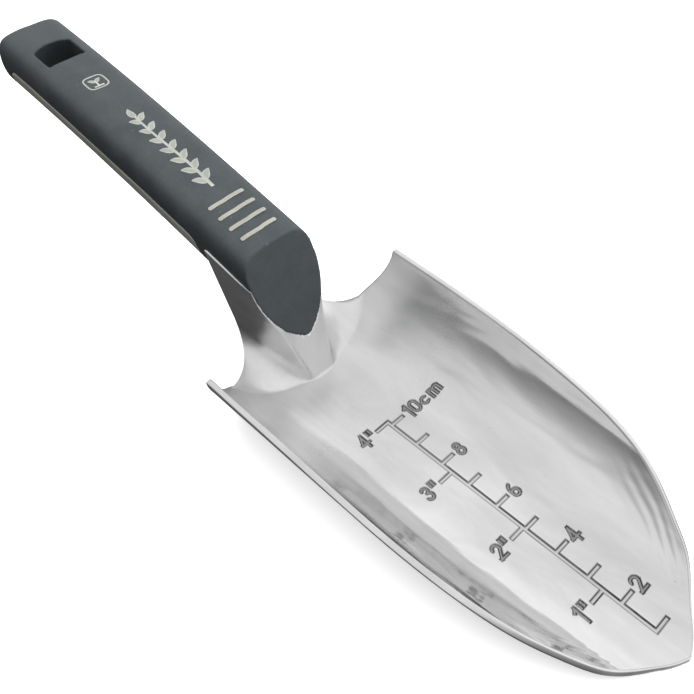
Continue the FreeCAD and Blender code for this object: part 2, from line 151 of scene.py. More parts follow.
# The rear edge behind the corners, as (behind the point, across), corner to middle.
REAR_EDGE = [(133.9, 44), (134.2, 37.5), (137.4, 32.5), (141.2, 26.0), (142.3, 21.8),
             (145.2, 18.0), (148.4, 13.5), (148.4, 0)]
CORNER = 134.2
# The crease that runs into the point: its slope, half width, length, and how fast it fades.
KEEL_SLOPE, KEEL_HALF, KEEL_END, KEEL_FADE = 0.06, 7.0, 11.0, 6.0
RIM_ROUND = 0.5

SECTION_HALF = 3000     # samples in half a section
section_count = 2 * SECTION_HALF + 1
half = np.array(TROUGH, float)
section = curve_through(np.concatenate([half[:0:-1] * [-1, 1], half]), section_count)
section_length = np.linalg.norm(np.diff(section, axis=0), axis=1).sum()
section_run = np.linspace(-1, 1, section_count) * section_length / 2
pattern_curve = curve_through(PATTERN, 3000)


def girth_at(behind):
    return np.interp(behind, pattern_curve[:, 0], pattern_curve[:, 1])


def upper_point(behind, girth):
    """Points of the blade's upper face."""
    across = np.interp(girth, section_run, section[:, 0])
    rise = np.interp(girth, section_run, section[:, 1])
    ahead = np.maximum(1 - behind / NARROWING_REACH, 0)
    across = across * (1 - NARROWING * ahead ** NARROWING_POWER)
    # A crease along the centre line runs into the point.
    fade = smoothstep((KEEL_END - behind) / KEEL_FADE)
    crease = KEEL_SLOPE * np.minimum(np.abs(across), KEEL_HALF) * fade
    return np.stack([POINT_X - behind + 0 * girth, across, rise + crease + GAUGE + 0 * behind], -1)


def floor_rise(across):
    """Height of the trough above its flat, at a distance from the centre line."""
    return np.interp(np.abs(across), section[SECTION_HALF:, 0], section[SECTION_HALF:, 1])


rear_curve = curve_through(REAR_EDGE[:-1], 400)


def rear_end(across):
    """Where the blade ends behind the point, at a distance across."""
    across = np.abs(across)
    return np.where(across < REAR_EDGE[-2][1], REAR_EDGE[-1][0],
                    np.interp(across, rear_curve[::-1, 1], rear_curve[::-1, 0]))


def inset_girth(behind):
    """Half girth less the rim's rounding, measured square to the outline."""
    step, least = 0.2, 0.35
    slope = (girth_at(behind + step) - girth_at(np.maximum(behind - step, 0))) / (2 * step)
    return np.maximum(girth_at(behind) - RIM_ROUND * np.sqrt(1 + slope ** 2), least)


# ------------------------------------------------------------------ engraved scale
# A mark is a list of strokes; x runs to the reader's right and y up, and the reader stands at
# the blade's point. Bars are (x0, y0, x1, y1), arcs (x, y, radius, start, end) in degrees.
PEN = 0.8
GLYPHS = {
    "1": [(1.7, 0.0, 1.7, 4.7), (0.75, 3.75, 1.7, 4.5)],
    "2": [(1.5, 3.4, 1.15, -25, 170), (2.52, 2.9, 0.45, 0.4), (0.2, 0.4, 2.8, 0.4)],
    "3": [(1.5, 3.5, 0.95, -90, 155), (1.5, 1.45, 1.1, -155, 90)],
    "4": [(2.1, 0.0, 2.1, 4.7), (1.95, 4.4, 0.35, 1.5), (0.2, 1.45, 3.0, 1.45)],
    "6": [(1.5, 1.45, 1.1, 0, 360), (3.0, 2.2, 2.6, 122, 186)],
    "8": [(1.5, 3.5, 0.85, 0, 360), (1.5, 1.45, 1.1, 0, 360)],
    "0": [(1.5, 3.35, 1.1, 0, 180), (1.5, 1.45, 1.1, 180, 360), (0.4, 1.45, 0.4, 3.35),
          (2.6, 1.45, 2.6, 3.35)],
    "c": [(1.5, 1.5, 1.15, 50, 310)],
    "m": [(0.5, 0.0, 0.5, 2.8), (2.1, 0.0, 2.1, 2.0), (3.7, 0.0, 3.7, 2.0),
          (1.3, 1.9, 0.8, 0, 180), (2.9, 1.9, 0.8, 0, 180)],
    '"': [(0.5, 3.3, 0.5, 4.6), (1.6, 3.3, 1.6, 4.6)],
}
ADVANCE = {"1": 2.8, "m": 4.8, '"': 2.2}
USUAL_ADVANCE = 3.6
FIGURE_MIDDLE = 2.4     # half the height of a figure
TICK = 4.5              # length of a tick
STROKE = 1.1            # width of a tick
INCH = 25.4
INCH_GAP, CM_GAP, UNIT_GAP = 1.4, 1.6, 1.4    # from a tick's end to its label
ONE_INCH_WIDTH, INCHES_WIDTH = 5.2, 5.9       # widths of the inch labels


def label_strokes(text, behind, across):
    """Strokes of a label in scale coordinates (behind the zero, across), tops to the handle."""
    made, pen_at = [], across
    for mark in text:
        base = behind - FIGURE_MIDDLE
        for s in GLYPHS[mark]:
            if len(s) == 4:
                made.append(("bar", base + s[1], pen_at + s[0], base + s[3], pen_at + s[2], PEN))
            else:
                made.append(("arc", base + s[1], pen_at + s[0], s[2], s[3], s[4], PEN))
        pen_at += ADVANCE.get(mark, USUAL_ADVANCE)
    return made


strokes = [("bar", 10, 0, 4 * INCH, 0, STROKE)]
for n in range(1, 11):
    strokes.append(("bar", 10 * n, 0, 10 * n, TICK, STROKE))
for n in range(1, 5):
    strokes.append(("bar", INCH * n, 0, INCH * n, -TICK, STROKE))
    label_width = ONE_INCH_WIDTH if n == 1 else INCHES_WIDTH
    strokes += label_strokes('%d"' % n, INCH * n, -TICK - INCH_GAP - label_width)
for n in (2, 4, 6, 8):
    strokes += label_strokes(str(n), 10 * n, TICK + CM_GAP)
strokes += label_strokes("10cm", 100, TICK + UNIT_GAP)


def stroke_distance(stroke, u, w):
    """Signed distance from points (behind zero, across) to a stroke's edge."""
    if stroke[0] == "bar":
        _, u0, w0, u1, w1, width = stroke
        run = np.array([u1 - u0, w1 - w0])
        length = np.linalg.norm(run)
        run = run / length
        du, dw = u - (u0 + u1) / 2, w - (w0 + w1) / 2
        along = np.abs(du * run[0] + dw * run[1]) - (length + width) / 2
        aside = np.abs(-du * run[1] + dw * run[0]) - width / 2
        return np.maximum(along, aside)
    _, u0, w0, radius, start, end, width = stroke
    du, dw = u - u0, w - w0
    # The reader's angle runs from across (x) towards behind (y).
    angle = np.degrees(np.arctan2(du, dw))
    middle, spread = (start + end) / 2, (end - start) / 2
    off = np.abs((angle - middle + 180) % 360 - 180)
    ring = np.abs(np.hypot(du, dw) - radius)
    past = np.radians(np.maximum(off - spread, 0)) * radius
    return np.hypot(ring, past) - width / 2


# ------------------------------------------------------------------ blade mesh
# Columns are shares of the half girth and rows are distances behind the point. Both are close
# together where the scale is engraved, and the columns again next to the rim.
FINE = 0.25
FINE_FROM, FINE_TO = -0.38, 0.46
BY_THE_RIM = [0.99, 0.995, 1]
fine_columns = np.arange(FINE_FROM, FINE_TO + 0.0001, FINE / 48)
columns = np.concatenate([[-share for share in BY_THE_RIM[::-1]], np.linspace(-0.98, FINE_FROM, 35)[:-1],
                          fine_columns, np.linspace(FINE_TO, 0.98, 31)[1:], BY_THE_RIM])
row_gap = [(0, 0.15), (6, 0.5), (8, 0.5), (8.5, FINE), (107, FINE), (109, 0.8), (135, 0.8)]
row_at = [RIM_ROUND]
LAST_ROW = CORNER - RIM_ROUND - 0.1
while row_at[-1] < LAST_ROW:
    row_at.append(row_at[-1] + float(read_table(row_gap, row_at[-1])))
row_at[-1] = LAST_ROW
row_at = np.array(row_at)

spread = columns[None, :] * inset_girth(row_at)[:, None]
upper_rows = upper_point(row_at[:, None] + 0 * spread, spread)
# Behind the corners every column runs on to the rear edge.
last_girth = columns * inset_girth(np.array([LAST_ROW]))[0]
tail = []
TAIL_ROWS = 39
for share in np.linspace(0, 1, TAIL_ROWS + 1)[1:]:
    across = np.interp(last_girth, section_run, section[:, 0])
    end = rear_end(across) - RIM_ROUND
    behind = LAST_ROW + (np.maximum(end, LAST_ROW + 0.1) - LAST_ROW) * share
    tail.append(upper_point(behind, last_girth))
upper = np.concatenate([upper_rows, np.array(tail)])
n_rows, n_columns = upper.shape[:2]

# Engrave: depth along the surface normal, and how close each vertex is to a groove's wall.
u_at = ZERO_X - upper[..., 0]
w_at = upper[..., 1]
FAR = 9.0               # stands for "no groove near"
LOOK_ROUND = 2          # distances are worked out this far round a stroke
nearest = np.full(u_at.shape, FAR)
nearest_figure = nearest.copy()
for s in strokes:
    if s[0] == "bar":
        low = (min(s[1], s[3]) - LOOK_ROUND, min(s[2], s[4]) - LOOK_ROUND)
        high = (max(s[1], s[3]) + LOOK_ROUND, max(s[2], s[4]) + LOOK_ROUND)
    else:
        low = (s[1] - s[3] - LOOK_ROUND, s[2] - s[3] - LOOK_ROUND)
        high = (s[1] + s[3] + LOOK_ROUND, s[2] + s[3] + LOOK_ROUND)
    near = (u_at > low[0]) & (u_at < high[0]) & (w_at > low[1]) & (w_at < high[1])
    gap = stroke_distance(s, u_at[near], w_at[near])
    nearest[near] = np.minimum(nearest[near], gap)
    if s[-1] == PEN:
        nearest_figure[near] = np.minimum(nearest_figure[near], gap)
GROOVE_DEPTH = 0.42
WALL = 0.3              # width of a groove's sloping wall
LIP_HEIGHT, LIP_PLACE, LIP_SPREAD = 0.05, 0.28, 0.16
# Painted shade of the grooves: its width at the walls, and its strength on the bar and figure floors.
WALL_SHADE_WIDTH = 0.26
BAR_FLOOR_SHADE, FIGURE_FLOOR_SHADE = 0.25, 0.7
across_dir = unit(np.gradient(upper, axis=1))
along_dir = unit(np.gradient(upper, axis=0))
normal = unit(np.cross(across_dir, along_dir))
normal *= np.where(normal[..., 2:] < 0, -1, 1)
clean_upper, clean_normal = upper.copy(), normal.copy()
cut = smoothstep(0.5 - nearest / WALL)
# Ripples left by polishing follow the rim near the point, stronger on one side.
RIPPLE_DEPTH, RIPPLE_PITCH = 0.045, 3.4
RIPPLE_WEAK = 0.25      # share of the ripple on the other side
RIPPLE_FROM, RIPPLE_TO = 6, 44      # behind the point
RIPPLE_NEAR, RIPPLE_FAR = 0.5, 13   # inside the rim
rim_gap = np.full(u_at.shape, 99.0)    # tail rows keep this: too far off to be rippled
rim_gap[:len(row_at)] = inset_girth(row_at)[:, None] - np.abs(spread)
behind_at = POINT_X - upper[..., 0]
ripple_zone = (smoothstep((behind_at - RIPPLE_FROM) / 8) * smoothstep((RIPPLE_TO - behind_at) / 14)
               * smoothstep((rim_gap - RIPPLE_NEAR) / 3) * smoothstep((RIPPLE_FAR - rim_gap) / 5)
               * np.where(w_at > 0, 1.0, RIPPLE_WEAK))
ripple = RIPPLE_DEPTH * ripple_zone * np.sin(
    2 * math.pi * rim_gap / RIPPLE_PITCH + 0.17 * behind_at + 0.9 * np.sin(0.31 * behind_at))
# Metal thrown up beside each stamped groove.
lip = LIP_HEIGHT * np.exp(-((nearest - LIP_PLACE) / LIP_SPREAD) ** 2)
upper = upper + normal * (lip + ripple - GROOVE_DEPTH * cut)[..., None]
# How much painted shade each vertex gets: most in the walls, some on the floors.
groove_painted_shade = np.maximum(np.exp(-(nearest / WALL_SHADE_WIDTH) ** 2),
                         BAR_FLOOR_SHADE * smoothstep(0.5 - nearest / WALL))
groove_painted_shade = np.maximum(groove_painted_shade, FIGURE_FLOOR_SHADE * smoothstep(0.5 - nearest_figure / WALL))

# The boundary loop runs up the left rim, round the point and down the right, then along the rear.
ids = np.arange(n_rows * n_columns).reshape(n_rows, n_columns)
loop = np.concatenate([ids[::-1, 0], ids[0, 1:-1], ids[:, -1], ids[-1, ::-1][1:-1]])
loop_points = clean_upper.reshape(-1, 3)[loop]
loop_normals = clean_normal.reshape(-1, 3)[loop]
tangent = unit(np.roll(loop_points, -1, 0) - np.roll(loop_points, 1, 0))
outward = unit(np.cross(loop_normals, tangent))
centre = loop_points.mean(0)
if np.mean(np.sum(outward * (loop_points - centre), 1)) < 0:
    outward = -outward
for _ in range(3):
    outward = unit(np.roll(outward, 1, 0) + 2 * outward + np.roll(outward, -1, 0))
# The rim's section, from the upper face round to the lower one: (outward, down).
RIM_PROFILE = [(0.16, 0.02), (0.3, 0.08), (0.42, 0.2), (0.48, 0.36), (0.5, 0.55), (0.5, 1.4), (0.46, 1.62),
               (0.34, 1.8), (0.14, 1.9)]
# A fine groove runs along the inner edge of the rim.
RIM_GROOVE = 0.06
RIM_GROOVE_SHADE = 0.5
upper.reshape(-1, 3)[loop] -= RIM_GROOVE * loop_normals
# The fine groove along the rim gets painted shade too.
groove_painted_shade.reshape(-1)[loop] = RIM_GROOVE_SHADE
points = [upper.reshape(-1, 3)]
faces = [grid_faces(n_rows, n_columns)]
previous = loop
count = n_rows * n_columns
for out, down in RIM_PROFILE:
    ring = loop_points + outward * out - loop_normals * down
    ring[:, 2] = np.maximum(ring[:, 2], 0.0)
    points.append(ring)
    current = count + np.arange(len(loop))
    count += len(loop)
    faces.append(np.stack([previous, np.roll(previous, -1), np.roll(current, -1), current], 1))
    previous = current
last_ring = previous

# Underside, on a coarser net.
UNDER_ROW_STEP, UNDER_COLUMN_STEP = 5, 4
pick_rows = np.unique(np.concatenate([np.arange(0, n_rows, UNDER_ROW_STEP), [n_rows - 1]]))
pick_columns = np.unique(np.concatenate([np.arange(0, n_columns, UNDER_COLUMN_STEP), [n_columns - 1]]))
under = (clean_upper - clean_normal * GAUGE)[np.ix_(pick_rows, pick_columns)]
under[..., 2] = np.maximum(under[..., 2], 0.0)
under_first = count
points.append(under.reshape(-1, 3))
u_ids = under_first + np.arange(under.shape[0] * under.shape[1]).reshape(under.shape[:2])
faces.append(grid_faces(under.shape[0], under.shape[1], under_first, flip=True))
count += u_ids.size
under_loop = np.concatenate([u_ids[::-1, 0], u_ids[0, 1:-1], u_ids[:, -1], u_ids[-1, ::-1][1:-1]])
# Each under-loop vertex matches one vertex of the dense loop; triangles join the two.
key_of = {int(v): k for k, v in enumerate(loop)}
dense_ids = ids[np.ix_(pick_rows, pick_columns)]
dense_loop = np.concatenate([dense_ids[::-1, 0], dense_ids[0, 1:-1], dense_ids[:, -1],
                             dense_ids[-1, ::-1][1:-1]])
stops = [key_of[int(v)] for v in dense_loop]
total = len(loop)
for k, here in enumerate(stops):
    there = stops[(k + 1) % len(stops)]
    walk = [(here + j) % total for j in range((there - here) % total + 1)]
    half_way = len(walk) // 2
    a, b = under_loop[k], under_loop[(k + 1) % len(stops)]
    tris = []
    for j in range(len(walk) - 1):
        tris.append((last_ring[walk[j]], last_ring[walk[j + 1]], a if j < half_way else b))
    tris.append((last_ring[walk[half_way]], b, a))
    faces.append(np.array(tris))
plate_points = np.concatenate(points)
plate_faces = [f for block in faces for f in block.tolist()]

# ------------------------------------------------------------------ handle line
# It starts at the first rib, on the handle's top: this far behind the scale's zero, this high.
HANDLE_START, HANDLE_Z = 153.8, 47.8
START = np.array([ZERO_X - HANDLE_START, 0, HANDLE_Z])
REARWARD = np.array([-math.cos(RISE), 0, math.sin(RISE)])
DOWN = np.array([-math.sin(RISE), 0, -math.cos(RISE)])


def on_handle(along, across, down):
    return START + REARWARD * along + DOWN * down + np.array([0, across, 0])


# ------------------------------------------------------------------ neck
# Level rings of the neck: height above the floor, then half widths at the leaning front and
# 5.5, 12 and 19 mm behind it.
NECK = [(0, 3.8, 8.1, 11.9, 13.3), (5, 5.3, 8.5, 11.8, 13.2), (10, 6.4, 9.0, 11.9, 13.15),
        (14, 7.2, 9.7, 12.2, 13.15), (18, 8.1, 10.4, 12.5, 13.15), (22.6, 9.7, 11.4, 12.8, 13.2),
        (27, 11.5, 12.3, 13.0, 13.2), (31.5, 12.6, 12.95, 13.15, 13.25),
        (36, 13.0, 13.15, 13.2, 13.25), (44, 13.1, 13.2, 13.25, 13.3)]
NECK_STATIONS = (0, 5.5, 12, 19.0)
NECK_NOSE = 129.9       # the leaning front, where it would meet the floor
NECK_RADIUS = 1.7       # half the width of the rounding between front and flank
# Foot of the fillet on the blade: (behind the scale's zero, across), nose to rear.
FOOT = [(128.9, 0), (129.2, 2.6), (130.5, 6.0), (132.0, 10.0), (133.2, 14.5), (134.4, 19.5),
        (136.3, 24.5), (139.6, 28.8)]
# Where the fillet ends on the neck's side: height above the floor, nose to rear.
FILLET_TOP = [(0, 1.6), (0.25, 4.0), (0.5, 9.0), (0.75, 14.0), (1, 18.0)]
# The fillet's rear boundary: a Bezier of (behind the scale's zero, across, height).
WEB = [(139.6, 28.8, 9.55), (143.6, 18.5, 5.2), (152.2, 13.1, 8.0), (156.2, 13.15, 18.0)]
# The grip's front shield: (height above the floor, half width).
SHIELD = [(13.9, 0), (14.6, 1.9), (16.3, 4.2), (19.2, 7.2), (22.6, 9.35), (27.0, 11.25), (31.5, 12.3),
          (35.9, 12.6), (44, 12.6)]
# The grip's flap lies in the neck's front by this much, with this clearance and sloping edge.
FLAP_SEAT, FLAP_CLEARANCE, FLAP_EDGE = 1.2, 0.1, 0.5
FRONT_DEPTH = 1.2       # points this close behind the leaning front count as the front
RING = 72               # points in half a ring, without the back
RING_TOP, RING_STEP = 44, 0.5
# The hollow in the back: half width, and (height, depth).
HOLLOW_WIDTH = 7.5
HOLLOW_DEPTH = [(0, 0), (2.0, 0), (4.5, 11.5), (22, 10.5), (27, 2.0), (29, 0), (60, 0)]


def neck_front(height):
    """Where the leaning front is at a height."""
    return ZERO_X - NECK_NOSE - height * math.tan(LEAN)


def neck_side(height):
    """Half a level ring, nose centre to rear corner, as (behind the front, across)."""
    table = np.array(NECK, float)
    front, near, mid, rear = [natural_spline(table[:, 0], table[:, k], [height])[0] for k in range(1, 5)]
    flank = curve_through(list(zip(NECK_STATIONS, (front, near, mid, rear))), 60)
    side = np.concatenate([np.stack([np.zeros(20), np.linspace(0, front, 20)], 1), flank[1:]])
    run = np.concatenate([[0], np.cumsum(np.linalg.norm(np.diff(side, axis=0), axis=1))])
    samples = 400
    even = np.linspace(0, run[-1], samples)
    side = np.stack([np.interp(even, run, side[:, k]) for k in (0, 1)], 1)
    # Round the ridge between the front and the flank.
    reach = int(round(NECK_RADIUS / (run[-1] / samples)))
    mirrored = np.concatenate([side[reach:0:-1] * [1, -1], side, 2 * side[-1] - side[-2:-reach - 2:-1]])
    kernel = np.hanning(2 * reach + 1)
    kernel /= kernel.sum()
    soft = np.stack([np.convolve(mirrored[:, k], kernel, "valid") for k in (0, 1)], 1)
    spot = np.linspace(0, samples - 1, RING)
    return np.stack([np.interp(spot, np.arange(samples), soft[:, k]) for k in (0, 1)], 1)


ring_count = int(RING_TOP / RING_STEP) + 1
ring_bank = np.array([neck_side(h) for h in np.linspace(0, RING_TOP, ring_count)])


def neck_wall(height):
    """Wall points for one height per ring station, in the CAD frame."""
    k = np.arange(RING)
    spot = np.clip(height, 0, RING_TOP) / RING_STEP
    low = np.minimum(spot.astype(int), ring_count - 2)
    mix = (spot - low)[:, None]
    plan = ring_bank[low, k] * (1 - mix) + ring_bank[low + 1, k] * mix
    return np.stack([neck_front(height) - plan[:, 0], plan[:, 1], height + GAUGE], 1)


# The fillet between blade and neck: a Bezier from the foot to the wall at every ring station.
share = np.linspace(0, 1, RING)
fillet_top = natural_spline(*np.array(FILLET_TOP).T, share)
FOOT_SAMPLES = 400
foot_plan = curve_through(FOOT, FOOT_SAMPLES)
# Which sample of the foot belongs to which share of the ring.
foot_spot = curve_through([(0, 0), (0.12, 60), (0.33, 150), (0.64, 270), (1, 399)], FOOT_SAMPLES)
foot_sample = np.interp(share, foot_spot[:, 0], foot_spot[:, 1])
foot = np.stack([np.interp(foot_sample, np.arange(FOOT_SAMPLES), foot_plan[:, k]) for k in (0, 1)], 1)
foot_points = np.stack([ZERO_X - foot[:, 0], foot[:, 1], floor_rise(foot[:, 1]) + GAUGE], 1)
wall_start = neck_wall(fillet_top)
wall_up = unit(neck_wall(fillet_top + 0.5) - wall_start)
away = foot_points - wall_start
away[:, 2] = 0
width = np.linalg.norm(away, axis=1)
away = unit(away)
climb = (floor_rise(foot_points[:, 1] + away[:, 1] * 0.5) - floor_rise(foot_points[:, 1])) / 0.5
foot_dir = unit(np.stack([away[:, 0], away[:, 1], climb], 1))
drop = wall_start[:, 2] - foot_points[:, 2]
p0, p3 = foot_points, wall_start
FULLNESS = 0.62
p1 = foot_points - foot_dir * (FULLNESS * width)[:, None]
p2 = wall_start - wall_up * (FULLNESS * drop)[:, None]
# Towards the rear the fillet turns into a web whose edge is the WEB curve.
web = np.array([[ZERO_X - x, y, h + GAUGE] for x, y, h in WEB])
turn = (smoothstep((share - 0.45) / 0.55) ** 1.5)[:, None]
p1 = p1 + (web[1] - web[0] - (p1 - p0)) * turn
p2 = p2 + (web[2] - web[3] - (p2 - p3)) * turn
SKIRT_ROWS = 26
steps = np.linspace(0, 1, SKIRT_ROWS)[:, None, None]
skirt = (p0 * (1 - steps) ** 3 + 3 * p1 * steps * (1 - steps) ** 2 + 3 * p2 * steps ** 2 * (1 - steps)
         + p3 * steps ** 3)
# It leaves the blade's face flat, and takes the least bending from there to the wall.
EASED_FROM = 20         # first ring station whose rows are eased
FLAT_SHARE = 0.03       # share of the way to the wall that stays on the blade's face
skirt[1] = p0 + (p3 - p0) * [1, 1, 0] * FLAT_SHARE
# From there on it lies on the blade's face, and before that no lower than the face.
on_fillet = np.arange(RING) < EASED_FROM
skirt[1, :, 2] = np.maximum(floor_rise(skirt[1, :, 1]) + GAUGE, skirt[1, :, 2] * on_fillet)


def least_bending(net, first_row, last_row, first_column, last_column):
    """Move a block of a net's points so that its second differences are as small as can be."""
    moving = np.zeros(net.shape[:2], bool)
    moving[first_row:last_row + 1, first_column:last_column + 1] = True
    number = np.full(net.shape[:2], -1)
    number[moving] = np.arange(moving.sum())
    terms = []
    for di, dj in ((1, 0), (0, 1)):
        for i in range(di, net.shape[0] - di):
            for j in range(dj, net.shape[1] - dj):
                terms.append(((i - di, j - dj, 1.0), (i, j, -2.0), (i + di, j + dj, 1.0)))
    system = np.zeros((len(terms), moving.sum()))
    known = np.zeros((len(terms), 3))
    for row, term in enumerate(terms):
        for i, j, weight in term:
            if moving[i, j]:
                system[row, number[i, j]] += weight
            else:
                known[row] -= weight * net[i, j]
    used = np.abs(system).sum(1) > 0
    system, known = system[used], known[used]
    net[moving] = np.linalg.solve(system.T @ system, system.T @ known)


least_bending(skirt, 2, SKIRT_ROWS - 3, EASED_FROM, RING - 2)
rows = list(skirt)

# Up to the parting plane, which follows the handle line.
PARTING = 8.7           # how far the plane lies below the handle line
WALL_ROWS = 59
FIRST_GUESS = 10.0
flat = neck_wall(np.full(RING, FIRST_GUESS))
gain = (neck_wall(np.full(RING, FIRST_GUESS + 1)) - flat) @ DOWN
top_height = FIRST_GUESS + (PARTING - (flat - START) @ DOWN) / gain
for _ in range(6):
    top_height = top_height + (PARTING - (neck_wall(top_height) - START) @ DOWN) / gain
for rise in np.linspace(0, 1, WALL_ROWS + 1)[1:]:
    heights = fillet_top + (top_height - fillet_top) * rise
    wall = neck_wall(heights)
    # The front steps back where the grip's flap lies on it.
    inside = np.interp(heights, *np.array(SHIELD).T) - np.abs(wall[:, 1]) - FLAP_CLEARANCE
    under = smoothstep(inside / FLAP_EDGE)
    on_front = wall[:, 0] > [neck_front(h) - FRONT_DEPTH for h in heights]
    wall[:, 0] -= FLAP_SEAT * under * on_front
    rows.append(wall)
# A small rounded lip under the grip.
crest = rows[-1]
neck_axis = np.array([[neck_front(30) - 9, 0, 0]])
inward = unit(neck_axis - crest * [1, 1, 0])
for in_by, up_by in ((0.08, 0.12), (0.3, 0.2), (2.0, 0.2)):
    rows.append(crest + inward * in_by - DOWN * up_by)
side = np.array(rows)   # the right half: rows x RING x 3

# The back face, with its hollow, closes each row from the rear corner to the middle.
BACK_PARTS = (8, 10, 8)
HOLLOW_FLARE = 0.5      # the hollow is narrower inside than at its mouth by this much a side


def back_row(corner):
    """The back of one row: corner, mouth of the hollow, its floor, middle."""
    height = corner[2] - GAUGE
    depth = float(read_table(HOLLOW_DEPTH, height))
    lip_edge = np.array([corner[0], HOLLOW_WIDTH, corner[2]])
    inner = lip_edge + np.array([depth, -HOLLOW_FLARE, 0])
    middle = np.array([inner[0], 0, inner[2]])
    stops = (corner, lip_edge, inner, middle)
    route = [corner[None]] + [np.linspace(a, b, n + 1)[1:] for a, b, n in zip(stops, stops[1:], BACK_PARTS)]
    route = np.concatenate(route)
    for _ in range(4):
        route[1:-1] = (route[:-2] + 2 * route[1:-1] + route[2:]) / 4
    return route[1:]


# Below the fillet's top the back runs down to the blade's rear edge.
BASE_SHORT, BASE_DEEP = 0.2, 0.4    # the base lies this far inside the edge and below the face
base_stops = (FOOT[-1][1], HOLLOW_WIDTH, HOLLOW_WIDTH - HOLLOW_FLARE, 0)
base_across = np.concatenate([base_stops[:1]] + [
    np.linspace(a, b, n + 1)[1:] for a, b, n in zip(base_stops, base_stops[1:], BACK_PARTS)])
base = np.stack([POINT_X - rear_end(base_across) + BASE_SHORT, base_across,
                 floor_rise(base_across) + GAUGE - BASE_DEEP], 1)
top_back = np.concatenate([side[SKIRT_ROWS - 1][-1:], back_row(side[SKIRT_ROWS - 1][-1])])
# The corner's own path is followed fully at the corner and not at all from the hollow on.
across_share = np.concatenate([np.linspace(1, 0, BACK_PARTS[0] + 1), np.zeros(sum(BACK_PARTS[1:]))])[:, None]
back = []
for k, up in enumerate(np.linspace(0, 1, SKIRT_ROWS)):
    ruled = base * (1 - up) + top_back * up
    back.append((ruled + (side[k][-1] - ruled[0]) * across_share)[1:])
for row in side[SKIRT_ROWS:]:
    back.append(back_row(row[-1]))
back = np.array(back)
BURIED = 1.0            # the foot goes this far into the plate
buried_side = side[:1] - np.array([0, 0, BURIED])
buried_back = back[:1] - np.array([0, 0, BURIED])
side = np.concatenate([buried_side, side])
back = np.concatenate([buried_back, back])
right = np.concatenate([side, back], 1)
left = right[:, ::-1][:, 1:-1] * [1, -1, 1]
neck_rings = np.concatenate([right, left], 1)
n_ring_rows, ring_size = neck_rings.shape[:2]
neck_points = list(neck_rings.reshape(-1, 3))
neck_faces = []
for r in range(n_ring_rows - 1):
    a = r * ring_size + np.arange(ring_size)
    b = r * ring_size + (np.arange(ring_size) + 1) % ring_size
    neck_faces += np.stack([a, b, b + ring_size, a + ring_size], 1).tolist()
half_count = right.shape[1]
CAP_COLUMNS = 13


def cap(first, flip, height=None):
    """Close a ring with rungs between its right half and the mirror image of that half."""
    rungs = []
    for k in range(half_count):
        start, stop = first + k, first + (ring_size - k) % ring_size
        if start == stop:
            rungs.append([start] * CAP_COLUMNS)
            continue
        inner = np.linspace(neck_points[start], neck_points[stop], CAP_COLUMNS)[1:-1]
        if height is not None:
            inner[:, 2] = height(inner[:, 1])
        rungs.append([start] + list(range(len(neck_points), len(neck_points) + len(inner))) + [stop])
        neck_points.extend(inner)
    for one, two in zip(rungs, rungs[1:]):
        for m in range(CAP_COLUMNS - 1):
            ring = list(dict.fromkeys([one[m], one[m + 1], two[m + 1], two[m]]))
            if len(ring) > 2:
                neck_faces.append(ring[::-1] if flip else ring)


# The lower cap stays inside the plate; the upper one is flat, under the grip.
cap(0, True, lambda across: floor_rise(across) + GAUGE - BURIED)
cap((n_ring_rows - 1) * ring_size, False)
neck_points = np.array(neck_points)

casting_points = np.concatenate([plate_points, neck_points])
casting_faces = plate_faces + [[i + len(plate_points) for i in f] for f in neck_faces]
casting = make_object("polished_casting", casting_points, casting_faces, sharp_degrees=38)
# The grooves' painted shade goes to the material as a point attribute.
groove_shade_values = np.zeros(len(casting_points), np.float32)
groove_shade_values[:groove_painted_shade.size] = groove_painted_shade.ravel()
casting.data.attributes.new("groove", "FLOAT", "POINT").data.foreach_set("value", groove_shade_values)
# The neck and the blade's rear are brushed, the rest is polished.
BRUSHED_FROM, BRUSHED_FADE = 60, 70
brushed = smoothstep((ZERO_X - casting_points[:, 0] - BRUSHED_FROM) / BRUSHED_FADE).astype(np.float32)
casting.data.attributes.new("brushed", "FLOAT", "POINT").data.foreach_set("value", brushed)
face_outward(casting)
casting.data.update()


# ------------------------------------------------------------------ handle pieces from the CAD solids
def moulded(node, name, voxel, passes):
    """The CAD solid's shape with the small even rounding of a moulding."""
    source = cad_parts[node]
    mesh = source.data.copy()
    work = bmesh.new()
    work.from_mesh(mesh)
    bmesh.ops.remove_doubles(work, verts=work.verts, dist=2e-6)
    work.to_mesh(mesh)
    work.free()
    raw = bpy.data.objects.new(name + "_raw", mesh)
    bpy.context.scene.collection.objects.link(raw)
    remesh = raw.modifiers.new("voxels", "REMESH")
    remesh.mode = "VOXEL"
    remesh.voxel_size = voxel
    soften = raw.modifiers.new("soften", "SMOOTH")
    soften.factor = 0.5
    soften.iterations = passes
    bpy.context.view_layer.update()
    made = baked(raw, name)
    bpy.data.objects.remove(raw)
    made.data.materials.clear()
    made.data.shade_smooth()
    return made


voxel = 0.0004
grip = moulded("soft_grip", "moulded_grip", voxel, 4)
core = moulded("handle_core", "moulded_core", voxel, 3)


# ------------------------------------------------------------------ ribs and prints on the grip
# How far the top sinks below the handle line, towards the far end: (along, depth).
BOW = [(-30, 0), (30, 0), (65, 0.6), (103, 2.4), (130, 4.4)]
LOOK_FROM = 20.0        # rays start this far above the handle line
grip_tree = BVHTree.FromObject(grip, bpy.context.evaluated_depsgraph_get())


def top_depth(along, across):
    """How far the handle's top lies below the handle line, read off the moulded grip."""
    found = []
    for place in zip(np.ravel(along), np.ravel(across)):
        origin = on_handle(*place, -LOOK_FROM) * MM
        hit = grip_tree.ray_cast(Vector(origin), Vector(DOWN))
        found.append(hit[3] / MM - LOOK_FROM if hit[0] else np.nan)
    return np.array(found).reshape(np.shape(across))


# The top's section as (across, depth).
TOP_SECTION = [(-10.8, 1.7), (-6.8, 0.25), (0, 0), (6.8, 0.25), (10.8, 1.7)]


